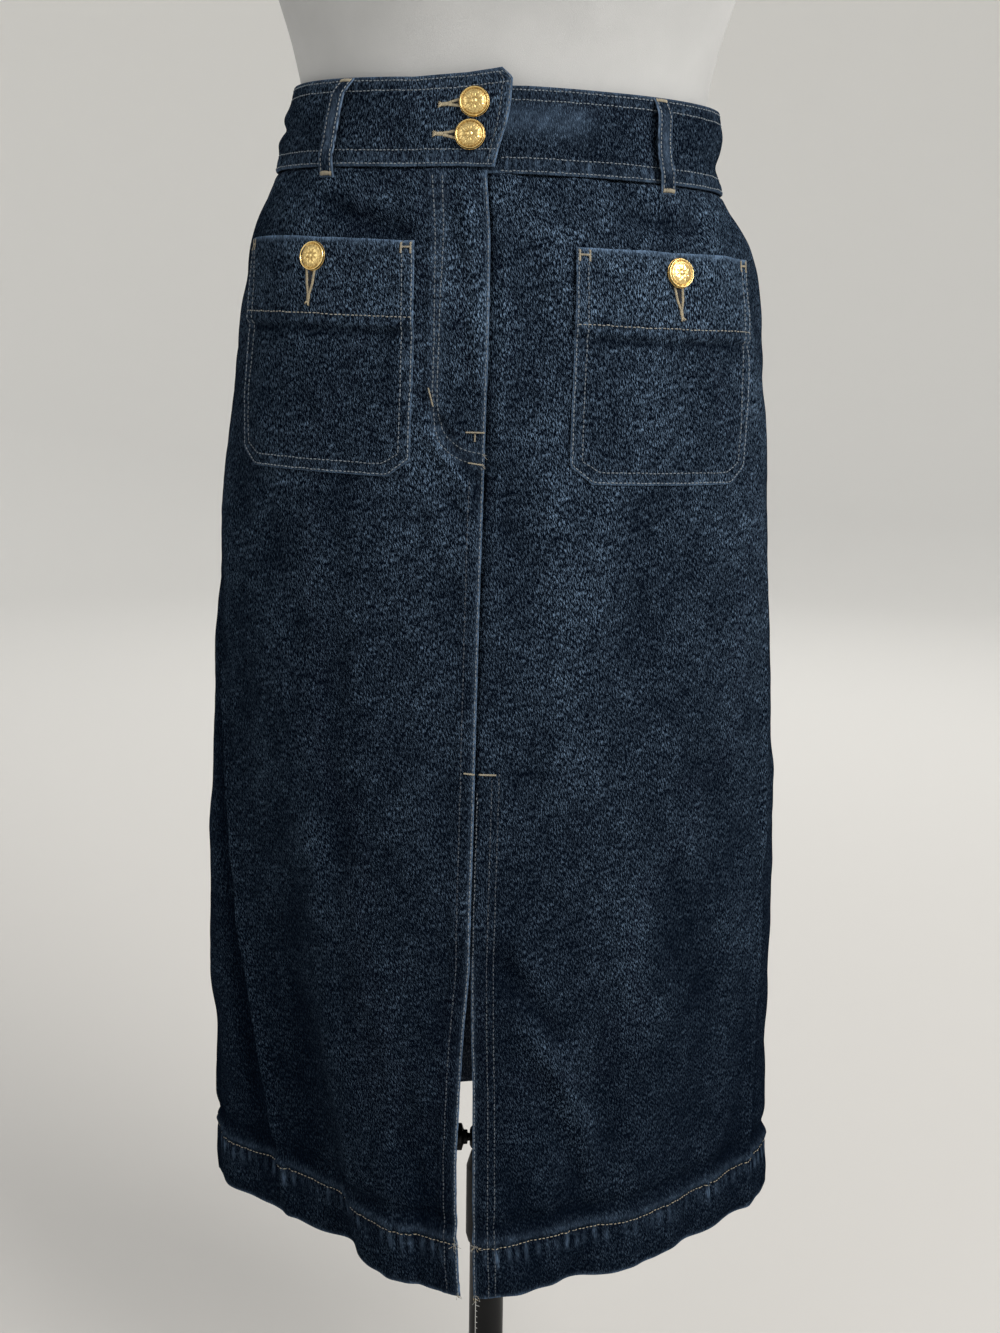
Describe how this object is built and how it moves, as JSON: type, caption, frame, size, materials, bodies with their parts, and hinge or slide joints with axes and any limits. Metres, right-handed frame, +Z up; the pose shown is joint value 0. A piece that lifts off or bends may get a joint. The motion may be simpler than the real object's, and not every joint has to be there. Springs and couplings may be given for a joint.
{
  "type": "denim skirt on a dress form",
  "caption": "Straight midi skirt in dark denim with front slit, overlapping tab waistband and buttoned patch pockets, on a limbless dress form with an adjustable pole stand.",
  "frame": {"origin": "on the floor, under the centre of the stand's round base", "axes": "+Z up along the pole; the skirt's front, with its slit and pockets, faces -Y; the wearer's right is at -X"},
  "size_m": [0.4295, 0.372, 1.6394],
  "materials": {
    "denim": "dark indigo right-hand twill, dry and slightly flecked, worn pale along its edges",
    "gold_button": "polished gold-coloured metal",
    "form_cover": "matt pale grey jersey",
    "black_steel": "gloss black",
    "black_plastic": "satin black"
  },
  "bodies": {
    "stand": {"stand_base": "black_steel", "lower_column": "black_steel", "collar": "black_plastic"},
    "form": {"torso": "form_cover", "neck_cap": "black_plastic", "upper_pole": "black_steel", "front_right_panel": "denim", "front_left_panel": "denim", "back_panel": "denim", "waistband": "denim", "pocket_right": "denim", "pocket_left": "denim", "belt_loop_front_right": "denim", "belt_loop_front_left": "denim", "belt_loop_back_right": "denim", "belt_loop_back_left": "denim", "belt_loop_back_centre": "denim", "button_waist_upper": "gold_button", "button_waist_lower": "gold_button", "button_pocket_right": "gold_button", "button_pocket_left": "gold_button"},
    "knob": {"clamp_knob": "black_plastic"}
  },
  "joints": [
    {"name": "form_height", "type": "slide", "parent": "stand", "child": "form", "axis": [0, 0, 1], "range_m": [-0.07, 0.08]},
    {"name": "clamp_turn", "type": "hinge", "parent": "stand", "child": "knob", "pos_m": [-0.02, 0, 0.314], "axis": [-1, 0, 0], "range_deg": [-360, 0]}
  ]
}
